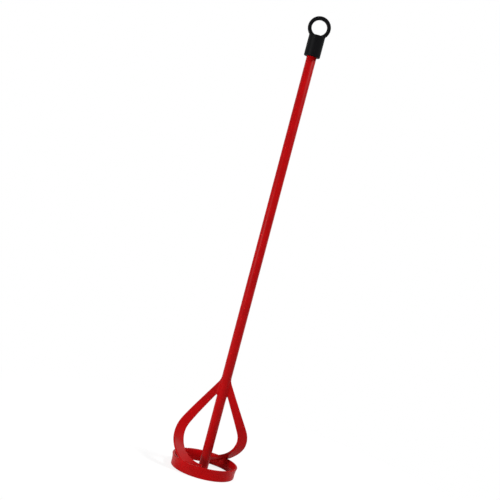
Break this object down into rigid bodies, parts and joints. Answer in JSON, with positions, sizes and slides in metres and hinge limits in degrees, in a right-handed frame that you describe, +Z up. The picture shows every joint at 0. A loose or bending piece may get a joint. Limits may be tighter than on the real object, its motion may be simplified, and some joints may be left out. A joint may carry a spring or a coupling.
{
  "type": "mortar mixing paddle",
  "caption": "Mixing paddle for a drill: round bar with two swept flat blades running into a rolled ring at its foot, and a push-on cap with a hanging eye over its drive end.",
  "frame": {"origin": "centre of the ring's lower edge, on the surface that the paddle stands on", "axes": "+Z up along the bar towards the cap, +X towards the right blade's root, +Y away from the picture's viewer, along the eye's hole"},
  "size_m": [0.0892, 0.0818, 0.5668],
  "materials": {
    "red_paint": "gloss red paint over mild steel",
    "black_plastic": "satin black moulded plastic"
  },
  "bodies": {
    "paddle": {"shaft": "red_paint", "blade_left": "red_paint", "blade_right": "red_paint", "ring": "red_paint", "ring_seam_weld": "red_paint", "root_weld_left": "red_paint", "root_weld_right": "red_paint", "ring_weld_left": "red_paint", "ring_weld_right": "red_paint"},
    "cap": {"hanging_cap": "black_plastic", "cap_eye": "black_plastic"}
  },
  "joints": [
    {"name": "cap_pull", "type": "slide", "parent": "paddle", "child": "cap", "axis": [0, 0, 1], "range_m": [0, 0.04]}
  ]
}
